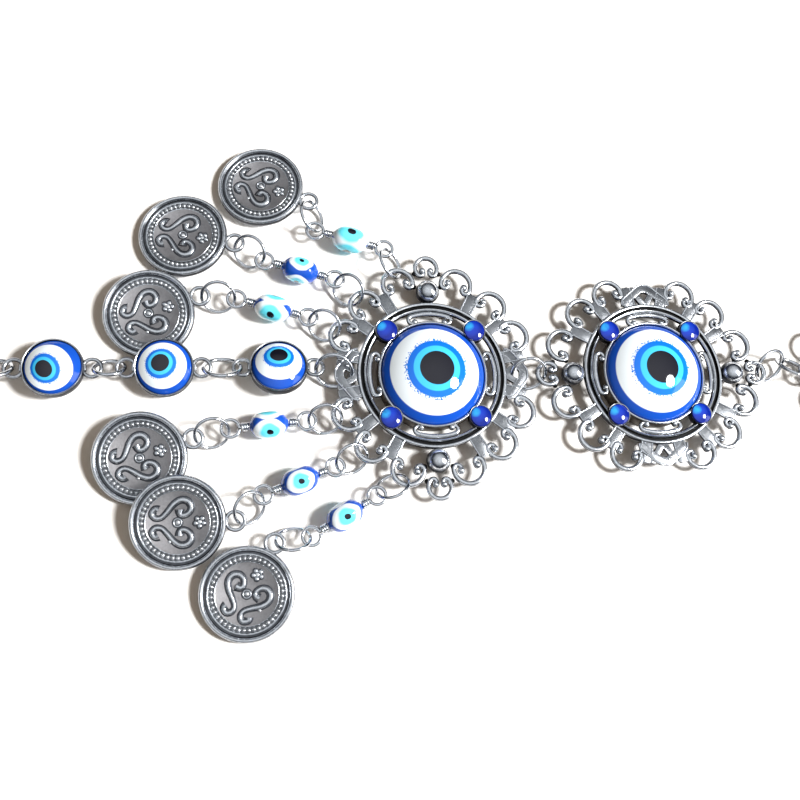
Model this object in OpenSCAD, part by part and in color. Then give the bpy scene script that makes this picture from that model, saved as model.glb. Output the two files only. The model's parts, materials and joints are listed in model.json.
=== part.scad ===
// Evil eye wall hanging: three filigree medallions in a row, hung from a small hanger,
// with six side strands and one middle strand below the lowest medallion.
// It lies flat: the back of the first medallion is at the origin on z = 0, +Z is the front
// and +X points to the hanger.

/* [Medallion] */
// Diameter of the big glass eye
eye_d = 20; // [17:0.5:24]
// Height of the eye's dome above its edge
eye_dome = 4.2; // [2.5:0.1:5.5]
// Height of the eye's edge above the table
eye_edge_z = 3.4; // [2.6:0.1:3.6]
// Wall of the cup that holds the eye
cup_wall = 0.65; // [0.5:0.05:1]
// Thickness of the cup's floor
cup_floor = 1; // [0.6:0.1:1.4]
// Inner diameter of the double ring around the eye
ring_inner_d = 25.4; // [24.8:0.2:30]
// Outer diameter of the double ring
ring_outer_d = 29; // [28:0.5:36]
// Thickness of the filigree
lace_t = 1.2; // [0.9:0.1:1.5]
// Width of one filigree wire
lace_w = 0.9; // [0.6:0.05:1]
// Radius of an outer scroll, to the middle of its wire
scroll_r = 3; // [2.7:0.05:3.2]
// Radius of the crown's loop on the long ends, to the middle of its wire
crown_r = 2.2; // [2.1:0.05:2.4]
// Diameter of the silver ball under each crown
ball_d = 4.6; // [3.6:0.1:5]
// Diameter of a blue stone
stone_d = 4; // [3:0.1:4]

/* [Jump rings] */
// Radius of a strand's jump ring, to the middle of its wire
small_ring_r = 3.1; // [2.8:0.05:3.4]
// Wire of a strand's jump ring
small_ring_w = 0.65; // [0.5:0.05:0.7]
// Radius of a chain jump ring, to the middle of its wire
large_ring_r = 3.4; // [3.2:0.05:3.8]
// Radius of the short jump ring between the last two links
short_ring_r = 2.7; // [2.6:0.05:3]
// Wire of a chain jump ring
large_ring_w = 0.8; // [0.6:0.05:0.85]
// Tilt of the jump rings against the table
ring_tilt = 46; // [42:1:50]

/* [Loops] */
// Radius of the small wire loops, to the middle of the wire
loop_r = 1.65; // [1.6:0.05:1.8]
// Wire of the small loops
loop_w = 0.7; // [0.5:0.05:0.75]

/* [Beads and pins] */
// Diameter of a lampwork bead
bead_d = 5; // [4.4:0.1:5.6]
// Length of a lampwork bead
bead_l = 7; // [6:0.1:8.5]
// Wire of the eye pins
pin_w = 0.8; // [0.6:0.05:0.9]
// Clearance of a bead on its pin, across
bead_play = 0.3; // [0.2:0.05:0.5]
// Straight neck of the pin between a bead's end and the loop
pin_neck = 1.5; // [0.3:0.1:2]

/* [Coins] */
// Diameter of a coin
coin_d = 16.8; // [14:0.1:17]
// Thickness of a coin at its rim
coin_t = 1.7; // [1.3:0.1:1.9]
// Width of the coin's rim
coin_rim_w = 0.8; // [0.5:0.05:1]
// Depth of the coin's face below its rim
coin_face_depth = 0.4; // [0.2:0.05:0.5]

/* [Eye links] */
// Diameter of the glass eye in a middle link
link_eye_d = 10; // [8.5:0.1:10.5]
// Height of the link eye's dome above its edge
link_eye_dome = 2; // [1.2:0.1:2.6]
// Wall of the link's cup
link_wall = 0.35; // [0.3:0.05:0.6]
// Height of the link's cup
link_cup_h = 2; // [1.8:0.1:2.2]

/* [Hanger] */
// Bore of the hanger, for a nail or hook
hanger_bore_d = 9; // [8:0.5:14]
// Width of the hanger's ring around the bore
hanger_wall = 1.8; // [1.4:0.1:2.4]
// Thickness of the hanger
hanger_t = 1.4; // [1.2:0.1:1.6]

/* [Hidden] */
$fn = 64;
eye_r = eye_d / 2;
glass_gap = 0.05;
cup_r = eye_r + glass_gap + cup_wall;
stone_r = stone_d / 2;
stone_seat_r = stone_r + 0.4;
stone_place_r = eye_r + stone_r + 0.2;
ring_outer_r = ring_outer_d / 2;
channel_w = 0.6;
channel_depth = 0.5;

// The jump rings stand at a tilt on the table, and everything they hold lies at mid_z.
mid_z = max(bead_d / 2, large_ring_r * sin(ring_tilt) + large_ring_w / 2);
stone_z = mid_z + lace_t / 2;

// Outer scrolls: angle from the medallion's long axis, and how far past the double ring
// the middle of the scroll stands.
scroll_place = [[17.5, 4.8], [42, 4], [65, 3.6]];
plate_angle = [30, 53.5, 77];
plate_w = 2.2;
plate_reach = 4.1;
crown_place = ring_outer_r + 7.4;
crown_cross = crown_place + 0.7;
ball_place = ring_outer_r + ball_d / 2 + 0.1;
arch_reach = ring_outer_r + 4.2;
arch_w = 1.7;
arch_half = 4.1;
arch_cross = ring_outer_r + 1.2;
scroll_cross = 1.6;
curl_d = 1.5;

loop_cross = 0.3;
pin_loop = bead_l / 2 + pin_neck + loop_r + loop_w / 2;
pin_reach = pin_loop + loop_cross;
coin_r = coin_d / 2;
coin_reach = coin_r + loop_r + loop_cross - 0.1;
link_eye_r = link_eye_d / 2;
link_cup_r = link_eye_r + glass_gap + link_wall;
link_loop = link_cup_r + loop_r - 0.35;
link_reach = link_loop + loop_cross;
hanger_r = hanger_bore_d / 2 + hanger_wall;
hanger_eye_bore_r = 1.75;
hanger_eye_wall = 1;
hanger_eye = hanger_r + hanger_eye_bore_r + 0.2;
hanger_reach = hanger_eye + 0.3;

// Which way each strand runs, part by part: first ring, pin, second ring, coin (degrees).
strand_turns = [
    [105, 165, 95, 160],
    [135, 165, 145, 170],
    [150, 165, 175, 200],
    [185, 185, 195, 200],
    [205, 200, 225, 180],
    [210, 210, 185, 240]
];
// Which scroll each strand hangs from, and its side of the medallion.
strand_seat = [[0, 1], [1, 1], [2, 1], [2, -1], [1, -1], [0, -1]];
// Which side of each strand's rings stands up, seen along the strand.
ring_lean = [1, -1, -1, -1, -1, 1];
// How each coin lies: share of the full pitch down to the table, and its roll.
coin_lie = [[1, 0], [1, 0], [0.72, -5], [0.72, -8], [0.2, -12], [1, 0]];
// Which way the first middle ring runs; the rest of the middle strand runs straight.
middle_turn = 167;
// Roll of each middle link about the strand, and the lean of each middle ring.
link_roll = [12, -10, 0];
middle_lean = [-1, 1, 1, 1];
middle_ring_r = [large_ring_r, large_ring_r, short_ring_r, small_ring_r];
// Which way the two rings between the second and third medallion run.
t2_turn = 25;
t3_turn = -20;

function heading(a) = [cos(a), sin(a), 0];
function lie_pitch(reach, r, t) = asin((mid_z - t / 2) / (reach + r));

// Side strands, from the seat in the first medallion's scroll outwards.
function seat_angle(i) = strand_seat[i][1] * (90 + scroll_place[strand_seat[i][0]][0]);
function seat_r(i) = ring_outer_r + scroll_place[strand_seat[i][0]][1] + scroll_cross;
function seat(i) = seat_r(i) * heading(seat_angle(i)) + [0, 0, mid_z];
function pin_start(i) = seat(i) + 2 * small_ring_r * heading(strand_turns[i][0]);
function pin_end(i) = pin_start(i) + 2 * pin_reach * heading(strand_turns[i][1]);
function coin_start(i) = pin_end(i) + 2 * small_ring_r * heading(strand_turns[i][2]);

// Middle strand: ring n starts at middle_start(n), and link n at link_start(n).
function middle_way(n) = heading(n == 0 ? middle_turn : 180);
function middle_start(n) = n == 0 ? [-arch_cross, 0, mid_z]
    : link_start(n - 1) + 2 * link_reach * heading(180);
function link_start(n) = middle_start(n) + 2 * middle_ring_r[n] * middle_way(n);
coin7_start = link_start(3);

// Chain to the hanger, from the first medallion outwards.
m2_x = arch_cross + 2 * large_ring_r + crown_cross;
t1_start = [arch_cross, 0, mid_z];
t2_start = [m2_x + crown_cross, 0, mid_z];
ring_hook = large_ring_w + 0.5;
t3_start = t2_start + (2 * large_ring_r - ring_hook) * heading(t2_turn);
t3_end = t3_start + 2 * large_ring_r * heading(t3_turn);
m3_centre = [t3_end[0] + crown_cross, t3_end[1], 0];
t4_start = m3_centre + [crown_cross, 0, mid_z];
hanger_start = t4_start + [2 * large_ring_r, 0, 0];

// Shapes shared by several parts ------------------------------------------------------

// Puts a part that hangs from its own origin at a place, heading, pitch and roll.
module hung(place, turn, pitch = 0, roll = 0) {
    translate(place) rotate([0, 0, turn]) rotate([0, pitch, 0]) rotate([roll, 0, 0]) children();
}

// A jump ring that starts at its own origin and reaches 2 r along +X.
module jump_ring(r, wire, tilt) {
    translate([r, 0, 0]) rotate([tilt, 0, 0])
        rotate_extrude() translate([r, 0]) circle(d = wire);
}

module wire_loop() {
    rotate_extrude() translate([loop_r, 0]) circle(d = loop_w);
}

// A domed glass eye on a short drum, base on z = 0.
module glass_eye(r, drum, dome) {
    cap_r = (r * r + dome * dome) / (2 * dome);
    cylinder(r = r, h = drum);
    translate([0, 0, drum]) intersection() {
        translate([0, 0, dome - cap_r]) sphere(r = cap_r);
        cylinder(r = r, h = dome + 1);
    }
}

// Flat shape of an open scroll: an arc about +X, with a curl at each end.
module scroll_outline(r, half_angle) {
    wedge = 2 * r;
    difference() {
        circle(r = r + lace_w / 2);
        circle(r = r - lace_w / 2);
        polygon([
            [0, 0],
            wedge * [cos(half_angle), sin(half_angle)],
            wedge * [-1, sin(half_angle)],
            wedge * [-1, -sin(half_angle)],
            wedge * [cos(half_angle), -sin(half_angle)]
        ]);
    }
    for (side = [-1, 1])
        rotate(side * half_angle) translate([r - (curl_d - lace_w) / 2, 0]) circle(d = curl_d);
}

// Flat shape of one radial plate between two scrolls.
module plate_outline() {
    translate([ring_outer_r - 0.4, -plate_w / 2]) square([plate_reach + 0.4, plate_w]);
}

// Flat shape of the arch at a short end, on +X.
module arch_outline() {
    inner = arch_half - arch_w;
    difference() {
        union() {
            translate([ring_outer_r - 0.5, -arch_half])
                square([arch_reach - ring_outer_r + 0.5 - arch_w, 2 * arch_half]);
            translate([arch_reach - arch_w, -inner]) square([arch_w, 2 * inner]);
            for (side = [-1, 1])
                translate([arch_reach - arch_w, side * inner]) circle(r = arch_w);
        }
        translate([ring_outer_r - 1, -inner])
            square([arch_reach - ring_outer_r + 1 - arch_w, 2 * inner]);
    }
}

// Flat shape of the crown and its neck at a long end, on +X.
module crown_outline() {
    translate([crown_place, 0]) difference() {
        circle(r = crown_r + lace_w / 2);
        circle(r = crown_r - lace_w / 2);
    }
    translate([ring_outer_r - 0.4, -0.8])
        square([crown_place - crown_r - ring_outer_r + 0.4, 1.6]);
}

// Flat shape of the whole filigree, long axis on X.
module lace_outline() {
    difference() {
        circle(r = ring_outer_r);
        circle(d = ring_inner_d);
    }
    for (end = [0, 180]) {
        rotate(end) crown_outline();
        rotate(end + 90) arch_outline();
        for (side = [-1, 1]) {
            for (place = scroll_place)
                rotate(end + side * place[0]) translate([ring_outer_r + place[1], 0])
                    scroll_outline(scroll_r, 112);
            for (a = plate_angle)
                rotate(end + side * a) plate_outline();
        }
    }
}

module at_stones() {
    for (a = [45:90:315])
        rotate([0, 0, a]) translate([stone_place_r, 0, 0]) children();
}

// Parts -------------------------------------------------------------------------------

module medallion_frame() {
    lace_z = mid_z - lace_t / 2;
    color("silver") difference() {
        union() {
            translate([0, 0, lace_z]) linear_extrude(lace_t) lace_outline();
            cylinder(r = cup_r, h = eye_edge_z + 0.3);
            at_stones() translate([0, 0, lace_z]) cylinder(r = stone_seat_r, h = stone_z - lace_z + 0.5);
            for (end = [0, 180])
                rotate([0, 0, end]) translate([ball_place, 0, mid_z]) sphere(d = ball_d);
        }
        translate([0, 0, cup_floor]) cylinder(r = eye_r + glass_gap, h = eye_edge_z + 1);
        at_stones() translate([0, 0, stone_z]) cylinder(r = stone_r + glass_gap, h = 1);
        translate([0, 0, lace_z + lace_t - channel_depth]) difference() {
            cylinder(r = ring_outer_r - 0.6, h = 0.5 + channel_depth - 0.4);
            translate([0, 0, -1]) cylinder(r = ring_outer_r - 0.6 - channel_w, h = 3);
        }
    }
}

module medallion_eye() {
    color("royalblue") translate([0, 0, cup_floor])
        glass_eye(eye_r, eye_edge_z - cup_floor, eye_dome);
}

module medallion_stones() {
    color("mediumblue") at_stones() translate([0, 0, stone_z]) {
        cylinder(r = stone_r, h = 0.7);
        translate([0, 0, 0.7]) cylinder(r1 = stone_r, r2 = stone_r * 0.6, h = 0.6);
    }
}

module strand_ring_a(i) {
    color("gainsboro") hung(seat(i), strand_turns[i][0])
        jump_ring(small_ring_r, small_ring_w, ring_lean[i] * ring_tilt);
}

module strand_pin(i) {
    color("gainsboro") hung(pin_start(i), strand_turns[i][1]) translate([pin_reach, 0, 0]) {
        shaft = pin_loop - loop_r;
        translate([-shaft, 0, 0]) rotate([0, 90, 0]) cylinder(d = pin_w, h = 2 * shaft);
        for (side = [-1, 1])
            translate([side * pin_loop, 0, 0]) wire_loop();
    }
}

// Half outline of a bead: how far out, as a share of half its length, and how wide there,
// as a share of its radius.
bead_side = [[0.35, 1], [0.7, 0.88], [0.9, 0.62], [1, 0.36]];

module strand_bead(i) {
    half_l = bead_l / 2;
    bore_r = (pin_w + bead_play) / 2;
    upper = [for (p = bead_side) [p[1] * bead_d / 2, p[0] * half_l]];
    lower = [for (n = [len(upper) - 1:-1:0]) [upper[n][0], -upper[n][1]]];
    color("blue") hung(pin_start(i), strand_turns[i][1]) translate([pin_reach, 0, 0])
        rotate([0, 90, 0]) rotate_extrude()
            polygon(concat([[bore_r, -half_l]], lower, upper, [[bore_r, half_l]]));
}

module strand_ring_b(i) {
    color("gainsboro") hung(pin_end(i), strand_turns[i][2])
        jump_ring(small_ring_r, small_ring_w, ring_lean[i] * ring_tilt);
}

// A coin that hangs from its own origin and lies along +X, front on +Z.
module coin() {
    color("silver") {
        translate([coin_reach, 0, 0]) difference() {
            translate([0, 0, -coin_t / 2]) cylinder(r = coin_r, h = coin_t);
            translate([0, 0, coin_t / 2 - coin_face_depth]) difference() {
                cylinder(r = coin_r - coin_rim_w, h = 1);
                translate([0, 0, -1]) cylinder(r = 1.1, h = 2.2);
            }
        }
        translate([loop_cross, 0, 0]) wire_loop();
    }
}

module strand_coin(i) {
    full_pitch = lie_pitch(coin_reach, coin_r, coin_t);
    hung(coin_start(i), strand_turns[i][3], coin_lie[i][0] * full_pitch, coin_lie[i][1]) coin();
}

module middle_coin() {
    hung(coin7_start, 180, lie_pitch(coin_reach, coin_r, coin_t)) coin();
}

module middle_ring(n) {
    color("gainsboro") hung(middle_start(n), n == 0 ? middle_turn : 180)
        jump_ring(middle_ring_r[n], large_ring_w, middle_lean[n] * ring_tilt);
}

module link_frame(n) {
    color("silver") hung(link_start(n), 180, 0, link_roll[n]) translate([link_reach, 0, 0])
        difference() {
            union() {
                translate([0, 0, -link_cup_h / 2]) cylinder(r = link_cup_r, h = link_cup_h);
                for (side = [-1, 1])
                    translate([side * link_loop, 0, 0]) wire_loop();
            }
            translate([0, 0, -link_cup_h / 2 + 0.5])
                cylinder(r = link_eye_r + glass_gap, h = link_cup_h);
        }
}

module link_eye(n) {
    color("royalblue") hung(link_start(n), 180, 0, link_roll[n])
        translate([link_reach, 0, -link_cup_h / 2 + 0.5])
            glass_eye(link_eye_r, link_cup_h - 0.8, link_eye_dome);
}

module chain_ring(start, turn, lean) {
    color("gainsboro") hung(start, turn) jump_ring(large_ring_r, large_ring_w, lean * ring_tilt);
}

module hanger() {
    color("silver") hung(hanger_start, 0, lie_pitch(hanger_reach, hanger_r, hanger_t))
        translate([hanger_reach, 0, -hanger_t / 2]) linear_extrude(hanger_t) difference() {
            union() {
                circle(r = hanger_r);
                translate([-hanger_eye, 0]) circle(r = hanger_eye_bore_r + hanger_eye_wall);
            }
            circle(d = hanger_bore_d);
            translate([-hanger_eye, 0]) circle(r = hanger_eye_bore_r);
        }
}

// Where each medallion lies: the first has its long axis across the chain.
module at_m1() {
    rotate([0, 0, 90]) children();
}
module at_m2() {
    translate([m2_x, 0, 0]) children();
}
module at_m3() {
    translate(m3_centre) children();
}

at_m1() medallion_frame();  // m1_frame
at_m1() medallion_eye();  // m1_eye
at_m1() medallion_stones();  // m1_stones
at_m2() medallion_frame();  // m2_frame
at_m2() medallion_eye();  // m2_eye
at_m2() medallion_stones();  // m2_stones
at_m3() medallion_frame();  // m3_frame
at_m3() medallion_eye();  // m3_eye
at_m3() medallion_stones();  // m3_stones
for (i = [0:5]) {
    strand_ring_a(i);
    strand_pin(i);
    strand_bead(i);
    strand_ring_b(i);
    strand_coin(i);
}
for (n = [0:3])
    middle_ring(n);
for (n = [0:2]) {
    link_frame(n);
    link_eye(n);
}
middle_coin();  // c_coin
chain_ring(t1_start, 0, 1);  // t1_ring
chain_ring(t2_start, t2_turn, 1);  // t2_ring
chain_ring(t3_start, t3_turn, -1);  // t3_ring
chain_ring(t4_start, 0, 1);  // t4_ring
hanger();
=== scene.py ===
# %% [markdown]
# # An evil eye wall hanging
# Three filigree medallions with glass eyes hang in a row. Below the last one come six
# strands of a blue bead and a struck coin, and a middle strand of three small eyes.
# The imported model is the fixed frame: it says where each piece is and what it turns on.

# %% Load the frame
import json
import math

import bmesh
import bpy
import numpy as np
from mathutils import Matrix, Vector

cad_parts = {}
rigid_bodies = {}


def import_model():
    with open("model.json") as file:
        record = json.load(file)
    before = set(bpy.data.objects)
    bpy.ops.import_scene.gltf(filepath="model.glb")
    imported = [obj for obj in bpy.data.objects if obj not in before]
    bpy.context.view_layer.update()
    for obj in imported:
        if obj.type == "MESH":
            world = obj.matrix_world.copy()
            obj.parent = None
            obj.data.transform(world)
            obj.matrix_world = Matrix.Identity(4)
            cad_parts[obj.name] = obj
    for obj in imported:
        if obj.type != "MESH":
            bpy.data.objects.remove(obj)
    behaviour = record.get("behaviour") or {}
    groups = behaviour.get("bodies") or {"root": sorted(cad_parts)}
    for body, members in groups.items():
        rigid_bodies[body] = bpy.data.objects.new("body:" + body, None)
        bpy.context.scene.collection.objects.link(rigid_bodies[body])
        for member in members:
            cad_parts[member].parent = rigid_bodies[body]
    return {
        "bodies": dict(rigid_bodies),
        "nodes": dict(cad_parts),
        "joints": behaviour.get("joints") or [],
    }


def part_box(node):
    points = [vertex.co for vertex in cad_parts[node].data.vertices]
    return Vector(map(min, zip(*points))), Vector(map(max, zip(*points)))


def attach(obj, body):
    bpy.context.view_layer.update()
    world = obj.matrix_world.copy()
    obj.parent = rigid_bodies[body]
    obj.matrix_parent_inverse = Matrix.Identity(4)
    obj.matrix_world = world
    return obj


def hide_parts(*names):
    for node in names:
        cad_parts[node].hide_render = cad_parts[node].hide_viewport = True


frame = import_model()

MM = 0.001
UP = Vector((0, 0, 1))
HERE = Matrix.Identity(4)
joint_to = {joint["child"]: joint for joint in frame["joints"]}
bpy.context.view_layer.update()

# %% [markdown]
# ## Measuring the frame
# Pieces find their places by measuring. A ring's middle is the middle of its box, and a
# flat piece faces the way that most of its surface faces, which the face areas tell.
# A piece that hangs gets its own axes: X away from its joint, and Z out of its front.

# %% Measure the frame's pieces
def points_of(node):
    mesh = frame["nodes"][node].data
    flat = np.zeros(len(mesh.vertices) * 3)
    mesh.vertices.foreach_get("co", flat)
    return flat.reshape(-1, 3)


def front_of(node):
    mesh = frame["nodes"][node].data
    normals = np.zeros(len(mesh.polygons) * 3)
    areas = np.zeros(len(mesh.polygons))
    mesh.polygons.foreach_get("normal", normals)
    mesh.polygons.foreach_get("area", areas)
    normals = normals.reshape(-1, 3)
    way = Vector(np.linalg.eigh((normals * areas[:, None]).T @ normals)[1][:, -1])
    return way if way.z > 0 else -way


def axes_at(place, away, front):
    """A matrix at place, with Z along front and X as near to away as it can be."""
    side = front.cross(away).normalized()
    turn = Matrix((side.cross(front), side, front)).transposed()
    return Matrix.Translation(place) @ turn.to_4x4()


def middle_of(node):
    low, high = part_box(node)
    return (low + high) / 2


def hangs(body, node=None):
    """Where a piece hangs from its joint."""
    joint = joint_to[body]
    axis = Vector(joint["axis"])
    front = front_of(node) if node else UP
    return axes_at(Vector(joint["pos_m"]), Vector((-axis.y, axis.x, 0)), front)


row_z = joint_to["s1_ring_a"]["pos_m"][2]
print("the row lies", round(row_z / MM, 2), "mm above the table")

# %% [markdown]
# ## Small tools for the node trees
# Wire, pearls, rings and scrolls repeat all over this piece, so Geometry Nodes grow
# them. These helpers make a tree with named inputs, add a node with its values in one
# line, and turn a grown shape into a plain mesh.

# %% Helpers for trees and meshes
def new_tree(name, kind, inputs, outputs):
    tree = bpy.data.node_groups.new(name, kind)
    for label, (socket_type, value) in inputs.items():
        socket = tree.interface.new_socket(
            name=label, in_out="INPUT", socket_type="NodeSocket" + socket_type)
        if value is not None:
            socket.default_value = value
    for label, socket_type in outputs.items():
        tree.interface.new_socket(
            name=label, in_out="OUTPUT", socket_type="NodeSocket" + socket_type)
    return tree, tree.nodes.new("NodeGroupInput").outputs, tree.nodes.new("NodeGroupOutput").inputs


def put(tree, kind, sockets=None, **settings):
    """Adds a node. A socket's value is a number, or another node's output to link."""
    node = tree.nodes.new(kind)
    for label, value in settings.items():
        setattr(node, label, value)
    for label, value in (sockets or {}).items():
        if isinstance(value, bpy.types.NodeSocket):
            tree.links.new(value, node.inputs[label])
        else:
            node.inputs[label].default_value = value
    return node


def shape_tree(name, inputs):
    shape_inputs = {"Geometry": ("Geometry", None)}
    shape_inputs.update(inputs)
    shape_inputs["Finish"] = ("Material", None)
    return new_tree(name, "GeometryNodeTree", shape_inputs, {"Geometry": "Geometry"})


def end_tree(tree, geometry, given, out):
    """Every tree ends the same way: real geometry, smooth, in its finish."""
    real = put(tree, "GeometryNodeRealizeInstances", {"Geometry": geometry})
    smooth = put(tree, "GeometryNodeSetShadeSmooth", {"Geometry": real.outputs[0]})
    done = put(tree, "GeometryNodeSetMaterial",
               {"Geometry": smooth.outputs[0], "Material": given["Finish"]})
    tree.links.new(done.outputs[0], out["Geometry"])


def grow(tree, values, points=(), edges=(), marks=None):
    """Runs a tree on points and edges in millimetres, and returns a mesh in metres."""
    start = bpy.data.meshes.new("start")
    start.from_pydata([tuple(p) for p in points], [tuple(e) for e in edges], [])
    for label, numbers in (marks or {}).items():
        start.attributes.new(label, "FLOAT", "POINT").data.foreach_set("value", numbers)
    base = bpy.data.objects.new("base", start)
    bpy.context.scene.collection.objects.link(base)
    modifier = base.modifiers.new("grow", "NODES")
    modifier.node_group = tree
    for item in tree.interface.items_tree:
        if item.in_out == "INPUT" and item.name in values:
            modifier[item.identifier] = values[item.name]
    graph = bpy.context.evaluated_depsgraph_get()
    mesh = bpy.data.meshes.new_from_object(base.evaluated_get(graph))
    bpy.data.objects.remove(base)
    mesh.transform(Matrix.Scale(MM, 4))
    return mesh


def gather(name, parts, body, replaces=()):
    """Joins meshes, each with its place, into one piece that rides on a body."""
    finishes = []
    whole = bmesh.new()
    for part, place in parts:
        copy = part.copy()
        copy.transform(place)
        found = []
        for finish in copy.materials:
            if finish not in finishes:
                finishes.append(finish)
            found.append(finishes.index(finish))
        index = np.zeros(len(copy.polygons), np.int32)
        copy.polygons.foreach_get("material_index", index)
        copy.polygons.foreach_set("material_index", np.array(found, np.int32)[index])
        whole.from_mesh(copy)
        bpy.data.meshes.remove(copy)
    mesh = bpy.data.meshes.new(name)
    whole.to_mesh(mesh)
    whole.free()
    for finish in finishes:
        mesh.materials.append(finish)
    piece = bpy.data.objects.new(name, mesh)
    bpy.context.scene.collection.objects.link(piece)
    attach(piece, body)
    if replaces:
        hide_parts(*replaces)
    return piece


# %% [markdown]
# ## Turned shapes and slabs
# A cup, a bead, a dome and a coin are all turned, like work on a lathe: a half outline
# goes once round. A slab is a flat outline given a thickness and soft edges.

# %% Lathe and slab
def lathe(outline, finishes, around=96, closed=False):
    """Turns (radius, height) points round Z. finishes has one entry for each step."""
    bm = bmesh.new()
    loops = []
    for radius, height in outline:
        if radius < 1e-6:
            loops.append([bm.verts.new((0, 0, height * MM))])
            continue
        loops.append([
            bm.verts.new((radius * MM * math.cos(a), radius * MM * math.sin(a), height * MM))
            for a in np.linspace(0, 2 * math.pi, around, endpoint=False)])
    used = []
    for step in range(len(outline) if closed else len(outline) - 1):
        first, second = loops[step], loops[(step + 1) % len(loops)]
        finish = finishes[step] if isinstance(finishes, list) else finishes
        if finish not in used:
            used.append(finish)
        for i in range(around):
            j = (i + 1) % around
            corners = [first[i % len(first)], first[j % len(first)],
                       second[j % len(second)], second[i % len(second)]]
            corners = list(dict.fromkeys(corners))
            if len(corners) > 2:
                bm.faces.new(corners).material_index = used.index(finish)
    bmesh.ops.recalc_face_normals(bm, faces=bm.faces)
    mesh = bpy.data.meshes.new("turned")
    bm.to_mesh(mesh)
    bm.free()
    for finish in used:
        mesh.materials.append(finish)
    mesh.shade_smooth()
    mesh.set_sharp_from_angle(angle=math.radians(50))
    return mesh


def slab(outline, low, high, soften, finish, edge_finish=None):
    """Gives a flat outline in millimetres a thickness, with softened edges."""
    bm = bmesh.new()
    face = bm.faces.new([bm.verts.new((x * MM, y * MM, low * MM)) for x, y in outline])
    lift = bmesh.ops.extrude_face_region(bm, geom=[face])
    bmesh.ops.translate(bm, vec=(0, 0, (high - low) * MM),
                        verts=[v for v in lift["geom"] if isinstance(v, bmesh.types.BMVert)])
    bmesh.ops.recalc_face_normals(bm, faces=bm.faces)
    soft = bmesh.ops.bevel(bm, geom=list(bm.edges), offset=soften * MM, segments=3,
                           profile=0.5, affect="EDGES", clamp_overlap=True)
    for face in soft["faces"]:
        face.material_index = 1 if edge_finish else 0
    mesh = bpy.data.meshes.new("slab")
    bm.to_mesh(mesh)
    bm.free()
    mesh.materials.append(finish)
    if edge_finish:
        mesh.materials.append(edge_finish)
    mesh.shade_smooth()
    mesh.set_sharp_from_angle(angle=math.radians(40))
    return mesh


# %% [markdown]
# ## Old silver
# The castings are plated bright, dipped in black and rubbed back, so the tops shine and
# the hollows stay dark. One shader group makes that: noise breaks up the rubbing, and a
# clean share says how much is rubbed back. A second group gives the fine cast grain.

# %% Shader groups for old silver and cast grain
def colour(r, g, b):
    return (r, g, b, 1.0)


def object_noise(tree, scale, detail=3.0, roughness=0.6):
    where = put(tree, "ShaderNodeTexCoord").outputs["Object"]
    return put(tree, "ShaderNodeTexNoise",
               {"Vector": where, "Scale": scale, "Detail": detail, "Roughness": roughness})


def mixed(tree, share, first, second):
    mix = put(tree, "ShaderNodeMix", {0: share, 6: first, 7: second}, data_type="RGBA")
    return mix.outputs[2]


def ranged(tree, value, low, high, to_low=0.0, to_high=1.0):
    return put(tree, "ShaderNodeMapRange", {
        "Value": value, "From Min": low, "From Max": high,
        "To Min": to_low, "To Max": to_high}).outputs[0]


def math_of(tree, operation, *values):
    return put(tree, "ShaderNodeMath", dict(enumerate(values)), operation=operation).outputs[0]


old_silver, given, out = new_tree("Old silver", "ShaderNodeTree", {
    "Clean": ("Float", 1.0), "Bright": ("Color", colour(0.8, 0.8, 0.79)),
    "Dark": ("Color", colour(0.05, 0.047, 0.044)), "Smooth": ("Float", 0.15),
    "Dull": ("Float", 0.5)}, {"Color": "Color", "Roughness": "Float"})
patches = object_noise(old_silver, 420.0).outputs["Fac"]
fine = object_noise(old_silver, 2600.0, 2.0).outputs["Fac"]
uneven = ranged(old_silver, patches, 0.3, 0.7, -0.22, 0.16)
worn = math_of(old_silver, "ADD", given["Clean"], uneven)
share = ranged(old_silver, worn, 0.15, 0.75)
scratches = ranged(old_silver, fine, 0.35, 0.75, 0.0, 0.25)
bright = mixed(old_silver, scratches, given["Bright"], given["Dark"])
old_silver.links.new(mixed(old_silver, share, given["Dark"], bright), out["Color"])
rough = put(old_silver, "ShaderNodeMix",
            {0: share, 2: given["Dull"], 3: given["Smooth"]}).outputs[0]
old_silver.links.new(
    math_of(old_silver, "ADD", rough, ranged(old_silver, patches, 0.35, 0.7, -0.04, 0.1)),
    out["Roughness"])

cast_grain, given, out = new_tree("Cast grain", "ShaderNodeTree", {
    "Pits": ("Float", 1.0), "Waves": ("Float", 1.0)}, {"Height": "Float"})
pit_noise = object_noise(cast_grain, 5200.0, 2.0).outputs["Fac"]
wave_noise = object_noise(cast_grain, 620.0, 2.0).outputs["Fac"]
pits = math_of(cast_grain, "MULTIPLY", pit_noise, given["Pits"])
waves = math_of(cast_grain, "MULTIPLY", wave_noise, given["Waves"])
cast_grain.links.new(math_of(cast_grain, "ADD", pits, waves), out["Height"])


# %% [markdown]
# ## The metal finishes
# Each metal takes its colour and roughness from the old silver group and its bump from
# the grain group. Upright sides are darkened: partly the black patina that a cloth can't
# reach, partly painted shade for the dark outlines along the wires. On the medallions the
# rubbing also follows height, and the cup under each big eye is painted dark brown below
# its lip, which is painted shade. The coins' field is duller, and the drawn wire and the
# pearls are the brightest.

# %% Metal materials
def new_finish(name):
    finish = bpy.data.materials.new(name)
    finish.use_nodes = True
    tree = finish.node_tree
    tree.nodes.clear()
    shader = put(tree, "ShaderNodeBsdfPrincipled")
    tree.links.new(shader.outputs[0], put(tree, "ShaderNodeOutputMaterial").inputs["Surface"])
    return finish, tree, shader.inputs


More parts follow.
